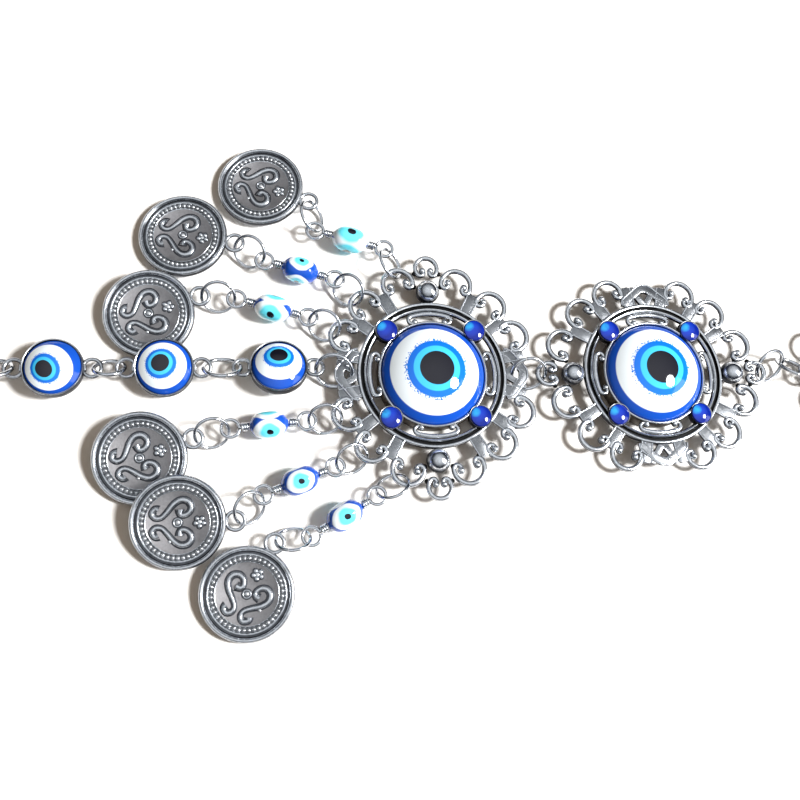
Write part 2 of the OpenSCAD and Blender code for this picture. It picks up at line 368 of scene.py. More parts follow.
def metal(name, bright, dark, smooth, dull, clean=1.0, heights=None, sides=0.0, pits=0.6,
          waves=0.8, bump=0.25):
    """sides is how light the upright sides stay: their darkening is partly patina, partly painted
    shade. heights are where rubbing starts and ends.
    """
    finish, tree, shader = new_finish(name)
    coordinates = put(tree, "ShaderNodeTexCoord").outputs
    # Upright sides go towards Dark: partly patina, partly painted shade along the wires' outlines.
    upright = put(tree, "ShaderNodeSeparateXYZ", {0: coordinates["Normal"]}).outputs["Z"]
    clean = math_of(tree, "MULTIPLY", clean, ranged(
        tree, math_of(tree, "ABSOLUTE", upright), 0.2, 0.7, sides, 1.0))
    if heights:
        height = put(tree, "ShaderNodeSeparateXYZ", {0: coordinates["Object"]}).outputs["Z"]
        clean = math_of(tree, "MULTIPLY", clean, ranged(
            tree, height, heights[0] * MM, heights[1] * MM))
    silver = put(tree, "ShaderNodeGroup", node_tree=old_silver)
    for label, value in {"Clean": clean, "Bright": bright, "Dark": dark, "Smooth": smooth,
                         "Dull": dull}.items():
        if isinstance(value, bpy.types.NodeSocket):
            tree.links.new(value, silver.inputs[label])
        else:
            silver.inputs[label].default_value = value
    grain = put(tree, "ShaderNodeGroup", node_tree=cast_grain)
    grain.inputs["Pits"].default_value = pits
    grain.inputs["Waves"].default_value = waves
    rough = put(tree, "ShaderNodeBump", {
        "Strength": bump, "Distance": 0.05 * MM, "Height": grain.outputs[0]})
    tree.links.new(silver.outputs["Color"], shader["Base Color"])
    tree.links.new(silver.outputs["Roughness"], shader["Roughness"])
    tree.links.new(rough.outputs[0], shader["Normal"])
    shader["Metallic"].default_value = 1.0
    return finish


GREY = colour(0.72, 0.745, 0.79)
# The dark of the patina in the hollows, also used as painted shade on upright sides.
SOOT_AND_SHADE = colour(0.028, 0.03, 0.038)
mid = row_z / MM
cast_silver = metal("cast_silver", colour(0.86, 0.89, 0.94), SOOT_AND_SHADE, 0.16, 0.5,
                    heights=(mid - 0.5, mid + 0.25))
plate_silver = metal("plate_silver", colour(0.33, 0.345, 0.37), colour(0.07, 0.07, 0.08), 0.28,
                     0.45, clean=0.85, pits=1.5, bump=0.5)
hollow_black = metal("hollow_black", colour(0.03, 0.03, 0.032), colour(0.012, 0.012, 0.012),
                     0.4, 0.6, clean=0.5, pits=1.5)
cup_silver = metal("cup_silver", GREY, SOOT_AND_SHADE, 0.2, 0.45, clean=0.75)
# The cup wall under a big eye is dark brown below its lip: painted shade for the shadowed gap
# between the eye and the ring.
cup_painted_shade = metal("cup_painted_shade", GREY, colour(0.10, 0.085, 0.07), 0.2, 0.5, heights=(2.9, 3.6))
wire_silver = metal("wire_silver", colour(0.84, 0.87, 0.92), colour(0.08, 0.08, 0.085), 0.12, 0.3,
                    sides=0.2, pits=0.3, bump=0.12)
rim_silver = metal("rim_silver", colour(0.80, 0.83, 0.88), SOOT_AND_SHADE, 0.2, 0.4, clean=0.85)
field_silver = metal("field_silver", colour(0.47, 0.46, 0.475), colour(0.20, 0.19, 0.20), 0.55,
                     0.7, clean=0.75, pits=2.2, bump=0.6)
pearl_silver = metal("pearl_silver", colour(0.95, 0.97, 1.0), SOOT_AND_SHADE, 0.3, 0.4, sides=0.5, pits=0.3)
band_silver = metal("band_silver", colour(0.24, 0.25, 0.27), SOOT_AND_SHADE, 0.35, 0.5, clean=0.8)
groove_silver = metal("groove_silver", colour(0.15, 0.16, 0.18), colour(0.03, 0.03, 0.035), 0.3,
                      0.5, clean=0.6, pits=1.5)
print("metals", len(bpy.data.materials))

# %% [markdown]
# ## Glass
# The big eyes are domes of clear resin over printed rings, the beads are wound glass
# with dots of colour melted in, and the stones are foil-backed. Rings and dots come
# from the distance to an axis, in the piece's own axes, through one colour ramp each.
# A print can sit off centre: it is moved most at the middle, and not at all at the rim.

# %% Shader groups for printed rings and melted dots
def banded(tree, distance, bands):
    """A ramp with crisp bands. bands holds (outer edge, colour), from the middle out."""
    ramp = put(tree, "ShaderNodeValToRGB", {0: distance})
    stops = ramp.color_ramp.elements
    stops[0].position, stops[0].color = 0.0, bands[0][1]
    stops[1].position, stops[1].color = 1.0, bands[-1][1]
    for (edge, inner), (_, outer) in zip(bands[:-1], bands[1:]):
        for position, shade in ((edge - 0.006, inner), (edge + 0.006, outer)):
            stops.new(position).color = shade
    return ramp.outputs["Color"]


PUPIL = colour(0.006, 0.006, 0.012)
SKY = colour(0.045, 0.50, 0.84)
SEA = colour(0.004, 0.15, 0.70)
AQUA = colour(0.13, 0.72, 0.88)
MILK = colour(0.84, 0.93, 1.0)
ROYAL = colour(0.008, 0.075, 0.47)


def flat_reach(tree, vector):
    """Distance from the Z axis."""
    flat = put(tree, "ShaderNodeVectorMath", {0: vector, 1: (1.0, 1.0, 0.0)},
               operation="MULTIPLY").outputs[0]
    return put(tree, "ShaderNodeVectorMath", {0: flat}, operation="LENGTH").outputs["Value"]


eye_rings, given, out = new_tree("Printed rings", "ShaderNodeTree", {
    "Vector": ("Vector", None), "Lean": ("Vector", None)}, {"Color": "Color"})
from_rim = flat_reach(eye_rings, given["Vector"])
from_rim = math_of(eye_rings, "MULTIPLY", from_rim, from_rim)
from_rim = ranged(eye_rings, from_rim, 0.0, 1.0, 1.0, 0.0)
lean = put(eye_rings, "ShaderNodeVectorMath", {0: given["Lean"], "Scale": from_rim},
           operation="SCALE").outputs[0]
leaning = put(eye_rings, "ShaderNodeVectorMath", {0: given["Vector"], 1: lean},
              operation="SUBTRACT").outputs[0]
reach = flat_reach(eye_rings, leaning)
speck = put(eye_rings, "ShaderNodeTexNoise", {"Vector": given["Vector"], "Scale": 34.0,
                                              "Detail": 2.0}).outputs["Fac"]
near = math_of(eye_rings, "MULTIPLY", ranged(eye_rings, reach, 0.53, 0.55),
               ranged(eye_rings, reach, 0.66, 0.6))
shaken = math_of(eye_rings, "SUBTRACT", reach, math_of(
    eye_rings, "MULTIPLY", near, ranged(eye_rings, speck, 0.52, 0.72, 0.0, 0.16)))
eye_rings.links.new(banded(eye_rings, shaken, [
    (0.33, PUPIL), (0.445, SKY), (0.56, SEA), (0.86, MILK), (1.0, ROYAL)]), out["Color"])

melted_dots, given, out = new_tree("Melted dots", "ShaderNodeTree", {
    "Vector": ("Vector", None), "Blue dot": ("Float", 0.15)}, {"Color": "Color"})
BEAD_ROUND = 0.27
wobble = put(melted_dots, "ShaderNodeTexNoise", {"Vector": given["Vector"], "Scale": 4.5,
                                                 "Detail": 1.0})
shift = put(melted_dots, "ShaderNodeVectorMath", {
    0: wobble.outputs["Color"], 1: (0.5, 0.5, 0.5)}, operation="SUBTRACT").outputs[0]
shift = put(melted_dots, "ShaderNodeVectorMath", {0: shift, "Scale": 0.07},
            operation="SCALE").outputs[0]
moved = put(melted_dots, "ShaderNodeVectorMath", {0: given["Vector"], 1: shift},
            operation="ADD").outputs[0]
xyz = put(melted_dots, "ShaderNodeSeparateXYZ", {0: moved}).outputs
turn = math_of(melted_dots, "ARCTAN2", xyz["Y"], xyz["Z"])
half_share = math.radians(60)
turn = math_of(melted_dots, "WRAP", turn, half_share, -half_share)
along = math_of(melted_dots, "MULTIPLY", turn, BEAD_ROUND)
reach = math_of(melted_dots, "SQRT", math_of(
    melted_dots, "ADD", math_of(melted_dots, "MULTIPLY", xyz["X"], xyz["X"]),
    math_of(melted_dots, "MULTIPLY", along, along)))
spread = math_of(melted_dots, "DIVIDE", reach, given["Blue dot"])
dots = put(melted_dots, "ShaderNodeValToRGB", {0: math_of(melted_dots, "MULTIPLY", spread, 0.5)})
dot_stops = dots.color_ramp.elements
dot_stops[0].position, dot_stops[0].color = 0.15, PUPIL
dot_stops[1].position, dot_stops[1].color = 0.80, ROYAL
for position, shade in ((0.18, AQUA), (0.42, AQUA), (0.56, MILK), (0.73, MILK)):
    dot_stops.new(position).color = shade
melted_dots.links.new(dots.outputs["Color"], out["Color"])


# %% Glass materials
def own_axes(tree, place, size):
    """The piece's own coordinates, with 1 at size millimetres."""
    where = put(tree, "ShaderNodeTexCoord").outputs["Object"]
    return put(tree, "ShaderNodeMapping", {
        "Vector": where, "Location": place.to_translation(),
        "Rotation": place.to_euler(), "Scale": (size * MM,) * 3},
        vector_type="TEXTURE").outputs[0]


def glassy(shader, roughness=0.06):
    shader["Roughness"].default_value = roughness
    shader["IOR"].default_value = 1.5
    shader["Specular IOR Level"].default_value = 0.35
    shader["Coat Weight"].default_value = 0.6
    shader["Coat Roughness"].default_value = 0.02


def printed_eye(name, place, size, lean=(0.0, 0.0, 0.0)):
    finish, tree, shader = new_finish(name)
    rings = put(tree, "ShaderNodeGroup", node_tree=eye_rings)
    rings.inputs["Lean"].default_value = lean
    tree.links.new(own_axes(tree, place, size), rings.inputs["Vector"])
    tree.links.new(rings.outputs[0], shader["Base Color"])
    glassy(shader)
    return finish


def wound_glass(name, place, dot):
    finish, tree, shader = new_finish(name)
    dots = put(tree, "ShaderNodeGroup", node_tree=melted_dots)
    tree.links.new(own_axes(tree, place, 10), dots.inputs["Vector"])
    dots.inputs["Blue dot"].default_value = dot
    tree.links.new(dots.outputs[0], shader["Base Color"])
    lumps = object_noise(tree, 500.0, 1.0).outputs[0]
    uneven = put(tree, "ShaderNodeBump", {
        "Strength": 0.3, "Distance": 0.1 * MM, "Height": lumps})
    tree.links.new(uneven.outputs[0], shader["Normal"])
    glassy(shader, 0.1)
    return finish


stone_glass, tree, shader = new_finish("stone_glass")
# Painted glint: the blue turns pale cyan where the surface faces (-0.26, 0.17, 0.95), the side
# away from the lamp.
facing = put(tree, "ShaderNodeTexCoord").outputs["Normal"]
facing = put(tree, "ShaderNodeVectorMath", {0: facing, 1: (-0.26, 0.17, 0.95)},
             operation="DOT_PRODUCT").outputs["Value"]
painted_glint = put(tree, "ShaderNodeValToRGB", {0: ranged(tree, facing, 0.86, 1.0)})
painted_glint_stops = painted_glint.color_ramp.elements
painted_glint_stops[0].position, painted_glint_stops[0].color = 0.0, colour(0.002, 0.012, 0.20)
painted_glint_stops[1].position, painted_glint_stops[1].color = 1.0, colour(0.02, 0.36, 0.80)
painted_glint_stops.new(0.76).color = colour(0.003, 0.035, 0.42)
clouds = object_noise(tree, 900.0, 1.0).outputs["Fac"]
tree.links.new(mixed(tree, ranged(tree, clouds, 0.45, 0.75, 0.0, 0.5), painted_glint.outputs[0],
                     colour(0.003, 0.02, 0.30)), shader["Base Color"])
glassy(shader, 0.03)

# %% [markdown]
# ## Wire, rings and rows
# Five small trees grow nearly all the metal. One draws round wire along a line whose
# thickness may change, as a scroll's does. Others bend a jump ring with its cut, wind a
# coil, lay pearls in a circle, and set a finished piece at many places at once.

# %% Geometry trees
wire_tree, given, out = shape_tree("Wire along a line", {
    "Wire radius": ("Float", 0.4), "Sides": ("Int", 12), "Steps": ("Int", 60)})
line = put(wire_tree, "GeometryNodeMeshToCurve", {0: given["Geometry"]})
line = put(wire_tree, "GeometryNodeCurveSplineType", {0: line.outputs[0]},
           spline_type="CATMULL_ROM")
girth = put(wire_tree, "GeometryNodeInputNamedAttribute", {"Name": "girth"}, data_type="FLOAT")
line = put(wire_tree, "GeometryNodeSetCurveRadius", {
    0: line.outputs[0], "Radius": girth.outputs[0]})
line = put(wire_tree, "GeometryNodeResampleCurve", {0: line.outputs[0], "Count": given["Steps"]})
section = put(wire_tree, "GeometryNodeCurvePrimitiveCircle", {
    "Resolution": given["Sides"], "Radius": given["Wire radius"]})
girth = put(wire_tree, "GeometryNodeInputRadius")
wire = put(wire_tree, "GeometryNodeCurveToMesh", {
    "Curve": line.outputs[0], "Profile Curve": section.outputs[0], "Scale": girth.outputs[0],
    "Fill Caps": True})
end_tree(wire_tree, wire.outputs[0], given, out)

ring_tree, given, out = shape_tree("Jump ring", {
    "Ring radius": ("Float", 3.0), "Wire radius": ("Float", 0.35), "Cut": ("Float", 4.0),
    "Steps": ("Int", 72), "Sides": ("Int", 14)})
sweep = put(ring_tree, "ShaderNodeMath", {0: 360.0, 1: given["Cut"]}, operation="SUBTRACT")
sweep = put(ring_tree, "ShaderNodeMath", {0: sweep.outputs[0]}, operation="RADIANS")
bent = put(ring_tree, "GeometryNodeCurveArc", {
    "Resolution": given["Steps"], "Radius": given["Ring radius"], "Sweep Angle": sweep.outputs[0]})
section = put(ring_tree, "GeometryNodeCurvePrimitiveCircle", {
    "Resolution": given["Sides"], "Radius": given["Wire radius"]})
ring = put(ring_tree, "GeometryNodeCurveToMesh", {
    "Curve": bent.outputs[0], "Profile Curve": section.outputs[0], "Fill Caps": True})
end_tree(ring_tree, ring.outputs[0], given, out)

coil_tree, given, out = shape_tree("Wound coil", {
    "Coil radius": ("Float", 0.7), "Wire radius": ("Float", 0.25), "Turns": ("Float", 3.0),
    "Length": ("Float", 1.4)})
spiral = put(coil_tree, "GeometryNodeCurveSpiral", {
    "Resolution": 20, "Rotations": given["Turns"], "Start Radius": given["Coil radius"],
    "End Radius": given["Coil radius"], "Height": given["Length"]})
section = put(coil_tree, "GeometryNodeCurvePrimitiveCircle", {
    "Resolution": 8, "Radius": given["Wire radius"]})
coil = put(coil_tree, "GeometryNodeCurveToMesh", {
    "Curve": spiral.outputs[0], "Profile Curve": section.outputs[0], "Fill Caps": True})
end_tree(coil_tree, coil.outputs[0], given, out)

pearl_tree, given, out = shape_tree("Pearls in a circle", {
    "Count": ("Int", 32), "Circle radius": ("Float", 5.9), "Pearl radius": ("Float", 0.27)})
spots = put(pearl_tree, "GeometryNodeMeshCircle", {
    "Vertices": given["Count"], "Radius": given["Circle radius"]})
pearl = put(pearl_tree, "GeometryNodeMeshUVSphere", {
    "Segments": 10, "Rings": 6, "Radius": given["Pearl radius"]})
pearls = put(pearl_tree, "GeometryNodeInstanceOnPoints", {
    "Points": spots.outputs[0], "Instance": pearl.outputs[0]})
end_tree(pearl_tree, pearls.outputs[0], given, out)

row_tree, given, out = shape_tree("Piece at many places", {"Piece": ("Object", None)})
facing = put(row_tree, "GeometryNodeInputNamedAttribute", {"Name": "turn"}, data_type="FLOAT")
facing = put(row_tree, "ShaderNodeCombineXYZ", {"Z": facing.outputs[0]})
piece = put(row_tree, "GeometryNodeObjectInfo", {"Object": given["Piece"]})
copies = put(row_tree, "GeometryNodeInstanceOnPoints", {
    "Points": given["Geometry"], "Instance": piece.outputs["Geometry"],
    "Rotation": facing.outputs[0]})
end_tree(row_tree, copies.outputs[0], given, out)


# %% Short calls for the trees
def wire_along(lines, wire, finish, girths=None, sides=12, steps=60):
    """Round wire along one or more lines of points, in millimetres."""
    points, edges, marks = [], [], []
    for number, line in enumerate(lines):
        first = len(points)
        points += [tuple(p) if len(p) == 3 else (p[0], p[1], 0) for p in line]
        edges += [(first + i, first + i + 1) for i in range(len(line) - 1)]
        marks += girths[number] if girths else [1.0] * len(line)
    return grow(wire_tree, {"Wire radius": wire, "Sides": sides, "Steps": steps,
                            "Finish": finish}, points, edges, {"girth": marks})


def ring_of(radius, wire, finish, cut=0.0, steps=72, sides=14):
    return grow(ring_tree, {"Ring radius": radius, "Wire radius": wire, "Cut": cut,
                            "Steps": steps, "Sides": sides, "Finish": finish})


def set_at(mesh, places, finish):
    """Copies of a mesh at (x, y, turn in degrees) places, in millimetres."""
    mesh.transform(Matrix.Scale(1 / MM, 4))
    piece = bpy.data.objects.new("piece", mesh)
    grown = grow(row_tree, {"Piece": piece, "Finish": finish},
                 [(x, y, 0) for x, y, _ in places],
                 marks={"turn": [math.radians(t) for _, _, t in places]})
    bpy.data.objects.remove(piece)
    return grown


def polar(radius, angle):
    return (radius * math.cos(math.radians(angle)), radius * math.sin(math.radians(angle)))


# %% [markdown]
# ## The filigree
# Each casting is a double ring with a black channel, a wreath of twelve C-scrolls, flat
# plates between them, a crown and a ball at each long end, and a gable with a crossed band
# at each short end. A scroll is one line that curls in at both ends, so the wire tree
# draws it, a ball closes each tip, and the places tree sets all twelve.

# %% Make the filigree of one medallion
RING_OUT = 14.5
STONES_OUT, STONE_ANGLES = 12.2, (45, 135, 225, 315)
BALLS_OUT, CROWNS_OUT = 16.9, 21.9
SCROLLS = [(17.5, 4.8), (42.0, 4.0), (65.0, 3.6)]
PLATES = [30.0, 53.5, 77.0]
# Distance from the middle, and angle from the long axis, of the dark joints.
JOINTS = [(20.9, 6.6), (18.2, 8.5), (17.9, 26.2), (17.9, 33.8), (17.7, 50.0), (17.7, 57.0)]


def c_scroll(radius, half_angle, hook, curl):
    """A C about +X whose ends curl inwards on a circle of radius hook."""
    arc = [polar(radius, a) for a in np.linspace(-half_angle, half_angle, 17)]
    cx, cy = polar(radius - hook, half_angle)
    end = []
    for a in np.linspace(0, curl, 9)[1:]:
        x, y = polar(hook * (1 - 0.25 * a / curl), half_angle + a)
        end.append((cx + x, cy + y))
    return [(x, -y) for x, y in reversed(end)] + arc + end


def scroll_girths(count, end=1.0):
    share = np.abs(np.linspace(-1, 1, count))
    return [float(1.0 - 0.2 * s + (end - 0.8) * max(0.0, (s - 0.85) / 0.15)) for s in share]


def all_round(radius_angles):
    """The four mirrored places of each (angle, distance), turned to face outwards."""
    places = []
    for angle, radius in radius_angles:
        for a in (angle, -angle, 180 - angle, 180 + angle):
            places.append((*polar(radius, a), a))
    return places


def with_tips(scroll, line, radius):
    """Ends a scroll's line in a round ball at both ends."""
    whole = bmesh.new()
    whole.from_mesh(scroll)
    for x, y in (line[0], line[-1]):
        bmesh.ops.create_uvsphere(whole, u_segments=16, v_segments=10, radius=radius * MM,
                                  matrix=Matrix.Translation((x * MM, y * MM, 0)))
    whole.to_mesh(scroll)
    whole.free()
    return scroll


outer_line = c_scroll(3.0, 104, 0.85, 215)
outer_scroll = wire_along([outer_line], 0.56, cast_silver, [scroll_girths(len(outer_line))],
                          steps=70)
outer_scroll = with_tips(outer_scroll, outer_line, 0.72)
wreath = set_at(outer_scroll, all_round([(a, RING_OUT + r) for a, r in SCROLLS]), cast_silver)

inner_line = c_scroll(12.25, 17.5, 0.82, 215)
inner_scroll = wire_along([inner_line], 0.48, cast_silver, [scroll_girths(len(inner_line))],
                          steps=80)
inner_scroll = with_tips(inner_scroll, inner_line, 0.62)
inner_scrolls = set_at(inner_scroll, [(0, 0, a) for a in (0, 90, 180, 270)], cast_silver)

crown_line = c_scroll(2.2, 128, 0.72, 190)
crown = wire_along([crown_line], 0.52, cast_silver, [scroll_girths(len(crown_line))], steps=70)
crown = with_tips(crown, crown_line, 0.66)
crowns = set_at(crown, [(CROWNS_OUT, 0, 0), (-CROWNS_OUT, 0, 180)], cast_silver)

plate = slab([(13.9, -1.0), (18.3, -1.15), (18.7, -0.8), (18.7, 0.8), (18.3, 1.15), (13.9, 1.0)],
             -0.55, 0.3, 0.12, plate_silver, cast_silver)
plate_edges = wire_along([[(14.1, -1.05), (16, -1.1), (18.4, -1.2)],
                          [(14.1, 1.05), (16, 1.1), (18.4, 1.2)]], 0.2, cast_silver, sides=8,
                         steps=12)
plate_places = [(0, 0, a) for _, _, a in all_round([(a, 1) for a in PLATES])]
plate_wires = set_at(plate_edges, plate_places, cast_silver)

gable = slab([(14.3, -5.0), (15.6, -4.8), (18.75, -1.0), (18.75, 1.0), (15.6, 4.8), (14.3, 5.0),
              (14.1, 3.7), (14.9, 3.4), (17.15, 0.5), (17.15, -0.5), (14.9, -3.4), (14.1, -3.7)],
             -0.5, 0.35, 0.14, plate_silver, cast_silver)
gable_wire = wire_along([[(14.4, -5.0), (15.6, -4.75), (17.2, -2.9), (18.6, -1.1), (18.75, 0),
                          (18.6, 1.1), (17.2, 2.9), (15.6, 4.75), (14.4, 5.0)]], 0.24,
                        cast_silver, sides=8, steps=50)
cross_band = slab([(18.2, -3.3), (18.5, -2.1), (15.3, 0), (18.5, 2.1), (18.2, 3.3), (14.2, 0.75),
                   (14.2, -0.75)], -0.55, 0.2, 0.12, plate_silver, cast_silver)

ring_outline = [(14.6, -0.45), (14.6, 0.3), (14.48, 0.55), (14.24, 0.62), (14.0, 0.5),
                (13.92, 0.05), (13.46, 0.05), (13.4, 0.42), (13.22, 0.56), (12.98, 0.5),
                (12.8, 0.2), (12.72, -0.3), (12.9, -0.55), (14.3, -0.58)]
ring_finishes = [cast_silver] * 4 + [hollow_black] * 3 + [cast_silver] * 7
double_ring = lathe(ring_outline, ring_finishes, 128, closed=True)

# The cup's wall takes the painted shade finish, so only its lip shines.
cup = lathe([(0, 0), (10.3, 0), (10.62, 0.2), (10.68, 0.6), (10.68, 3.3), (10.6, 3.6),
             (10.4, 3.7), (10.18, 3.62), (10.06, 3.35), (10.06, 1.0), (0, 1.0)], cup_painted_shade, 128)
seat = lathe([(0, -0.55), (2.2, -0.55), (2.3, -0.4), (2.3, 0.75), (2.22, 0.95), (2.12, 0.9),
              (2.06, 0.6), (0, 0.6)], cast_silver, 40)
ball = lathe([(2.3 * math.cos(a), 2.3 * math.sin(a)) for a in
              np.linspace(-math.pi / 2, math.pi / 2, 25)], cast_silver, 48)
joint_blob = lathe([(0.5 * math.cos(a), 0.42 * math.sin(a)) for a in
                    np.linspace(-math.pi / 2, math.pi / 2, 9)], hollow_black, 16)
print("scroll faces", len(outer_scroll.polygons), "wreath faces", len(wreath.polygons))


# %% Set a medallion at each of its three places
def at(x, y, z=0.0, turn=0.0):
    return Matrix.Translation(Vector((x, y, z)) * MM) @ Matrix.Rotation(math.radians(turn), 4, "Z")


medallion_at = {}
for body, turn in (("m1", 90), ("m2", 0), ("m3", 0)):
    eye_middle = middle_of(body + "_eye")
    medallion_at[body] = (Matrix.Translation((eye_middle.x, eye_middle.y, 0))
                          @ Matrix.Rotation(math.radians(turn), 4, "Z"))
    base = medallion_at[body]
    lace = base @ at(0, 0, mid)
    parts = [(wreath, lace), (inner_scrolls, lace @ at(0, 0, 0.15)), (crowns, lace),
             (plate_wires, lace @ at(0, 0, 0.25)), (double_ring, lace), (cup, base)]
    parts += [(plate, lace @ at(0, 0, 0, a)) for _, _, a in plate_places]
    for a in (90, 270):
        parts += [(gable, lace @ at(0, 0, 0, a)), (gable_wire, lace @ at(0, 0, 0.3, a)),
                  (cross_band, lace @ at(0, 0, 0, a))]
    parts += [(seat, lace @ at(*polar(STONES_OUT, a))) for a in STONE_ANGLES]
    parts += [(ball, lace @ at(end * BALLS_OUT, 0)) for end in (1, -1)]
    parts += [(joint_blob, lace @ at(*polar(r, end + half * a), -0.1)) for end in (0, 180)
              for half in (1, -1) for r, a in JOINTS]
    piece = gather(body + "_filigree", parts, body, [body + "_frame"])
    print(piece.name, len(piece.data.polygons), "faces")

# %% [markdown]
# ## Eyes and stones
# On the real eye the rings are printed below clear resin. Here the dome itself carries
# them, and a coat of gloss stands for the resin. A stone is a low dome too, over foil. Its
# blue turns pale cyan where its surface faces up and to the left, away from the lamp: a
# painted glint, standing in for the light that the foil sends back through the glass.

# %% Make domes, eyes and stones
def dome(radius, base, edge, rise, finish, around=96):
    sphere = (radius ** 2 + rise ** 2) / (2 * rise)
    last = math.asin(radius / sphere)
    outline = [(0, base), (radius - 0.1, base), (radius, base + 0.1), (radius, edge - 0.15)]
    for a in np.linspace(last, 0, 28):
        outline.append((max(0.0, sphere * math.sin(a) - (0.06 if a == last else 0)),
                        edge + rise - sphere + sphere * math.cos(a)))
    outline[-1] = (0, edge + rise)
    return lathe(outline, finish, around)


BIG_EYE_R, BIG_EYE_RISE, STONE_UP = 10.0, 4.2, 0.9
stone = dome(2.04, -0.5, 0.1, 0.5, stone_glass, 48)
for body, place in medallion_at.items():
    low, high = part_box(body + "_eye")
    print_finish = printed_eye(body + "_eye_print", place, BIG_EYE_R)
    glass = dome(BIG_EYE_R, low.z / MM + 0.02, high.z / MM - BIG_EYE_RISE, BIG_EYE_RISE,
                 print_finish)
    gather(body + "_glass_eye", [(glass, place)], body, [body + "_eye"])
    gather(body + "_cut_stones",
           [(stone, place @ at(*polar(STONES_OUT, a), mid + STONE_UP)) for a in STONE_ANGLES],
           body, [body + "_stones"])

# %% [markdown]
# ## Jump rings and eye pins
# A jump ring is one turn of wire with a hairline cut, and stands at a tilt through the
# holes on each side. A pin's wire is bent to an eye at both ends and wound nearly three
# times round its own neck, which keeps the bead in the middle.

# %% Make jump rings
ring_bodies = sorted(body for body in frame["bodies"] if "ring" in body)
for number, body in enumerate(ring_bodies):
    points = points_of(body)
    middle = middle_of(body)
    front = front_of(body)
    from_middle = points - np.array(middle)
    wire = float(np.abs(from_middle @ np.array(front)).max()) / MM
    radius = float(np.linalg.norm(from_middle, axis=1).max()) / MM - wire
    away = middle - Vector(joint_to[body]["pos_m"])
    place = axes_at(middle, away, front) @ at(0, 0, 0, 70 + 37 * (number % 5))
    gather(body + "_wire", [(ring_of(radius, wire, wire_silver, cut=3.0), place)], body,
           [body])
print("rings", len(ring_bodies))

# %% Make pins and beads
LOOP_R, LOOP_WIRE, CAST_LOOP_WIRE = 1.65, 0.34, 0.36
BEAD_R, BEAD_HALF = 2.5, 3.5
# How far each bead is turned on its pin, in degrees, and the size of its dots.
bead_facing = [18, 25, -54, -48, -14, -14]
bead_dot = [0.27, 0.15, 0.22, 0.19, 0.17, 0.185]


def bead_outline():
    outline = [(0.56, -BEAD_HALF + 0.05)]
    for t in np.linspace(-1, 1, 33):
        radius = BEAD_R * (1 - abs(t) ** 2.7) ** 0.5
        outline.append((max(0.75, radius), t * BEAD_HALF))
    return outline + [(0.56, BEAD_HALF - 0.05)]


for i in range(6):
    strand = f"s{i + 1}"
    bead_middle = Vector(joint_to[strand + "_bead"]["pos_m"])
    place = hangs(strand + "_pin")
    reach = (bead_middle - place.to_translation()).length / MM
    pin_place = place @ at(reach, 0)
    loop_x = reach - 0.3
    parts = []
    for side, turn in ((1, 0), (-1, 180)):
        neck = loop_x - LOOP_R
        hook = [(loop_x + x, y) for x, y in
                [polar(LOOP_R, a) for a in np.linspace(180, 180 + 345, 30)]]
        line = [(0, 0), (neck - 0.6, 0)] + hook
        parts.append((wire_along([line], LOOP_WIRE, wire_silver, steps=80),
                      pin_place @ at(0, 0, 0, turn)))
        coil = grow(coil_tree, {"Coil radius": 0.62, "Wire radius": 0.26, "Turns": 2.6,
                                "Length": 1.15, "Finish": wire_silver})
        lie = Matrix.Rotation(math.radians(90), 4, "Y")
        parts.append((coil, pin_place @ at(0, 0, 0, turn) @ at(BEAD_HALF + 0.22, 0) @ lie))
    gather(strand + "_eye_pin", parts, strand + "_pin", [strand + "_pin"])

    bead_place = pin_place @ Matrix.Rotation(math.radians(bead_facing[i]), 4, "X")
    finish = wound_glass(strand + "_bead_glass", bead_place, bead_dot[i])
    bead = lathe(bead_outline(), finish, 64, closed=True)
    gather(strand + "_glass_bead",
           [(bead, pin_place @ Matrix.Rotation(math.radians(90), 4, "Y"))],
           strand + "_bead", [strand + "_bead"])

# %% [markdown]
# ## The coins
# A coin is struck: a rolled rim, a black groove, a circle of pearls between two thin
# ridges, and a dull field with two mirrored scrolls, a small flower and a boss. The
# turned profile carries one finish per step, and the raised work is grown on top.

# %% Make the coin
COIN_REACH, PEARLS_OUT = 10.25, 6.18
# Each step of the outline is a radius, a height and the finish up to the next step.
R, G, F, P, N = rim_silver, groove_silver, field_silver, hollow_black, band_silver
coin_outline = [
    (0, -0.8, R), (7.9, -0.8, R), (8.25, -0.66, R), (8.4, -0.35, R), (8.4, 0.3, R),
    (8.32, 0.62, R), (8.1, 0.82, R), (7.85, 0.85, R), (7.66, 0.72, R), (7.5, 0.4, P),
    (7.35, 0.3, G), (7.08, 0.34, R), (7.0, 0.54, R), (6.86, 0.6, R), (6.7, 0.54, R),
    (6.62, 0.34, N), (5.74, 0.34, P), (5.68, 0.5, R), (5.6, 0.53, R), (5.5, 0.46, F),
    (0, 0.44, F)]
disc = lathe([(r, z) for r, z, _ in coin_outline], [f for _, _, f in coin_outline], 112)
pearls = grow(pearl_tree, {"Count": 44, "Circle radius": PEARLS_OUT, "Pearl radius": 0.41,
                           "Finish": pearl_silver})
half_scroll = [(2.3, 0.35), (1.5, 0.4), (1.25, 1.1), (1.75, 2.0), (2.75, 2.35), (3.75, 1.75),
               (3.95, 0.5), (3.2, -0.7), (1.95, -1.75), (0.95, -2.75), (0.85, -3.8),
               (1.6, -4.4), (2.4, -3.9), (2.25, -3.3)]
scroll_fat = [1.35, 1.0, 0.9, 0.95, 1.05, 1.1, 1.05, 1.0, 0.9, 0.85, 0.95, 1.0, 1.05, 1.35]
mirrored = [(-x, y) for x, y in half_scroll]
raised = wire_along([half_scroll, mirrored], 0.44, rim_silver, [scroll_fat, scroll_fat],
                    sides=10, steps=90)
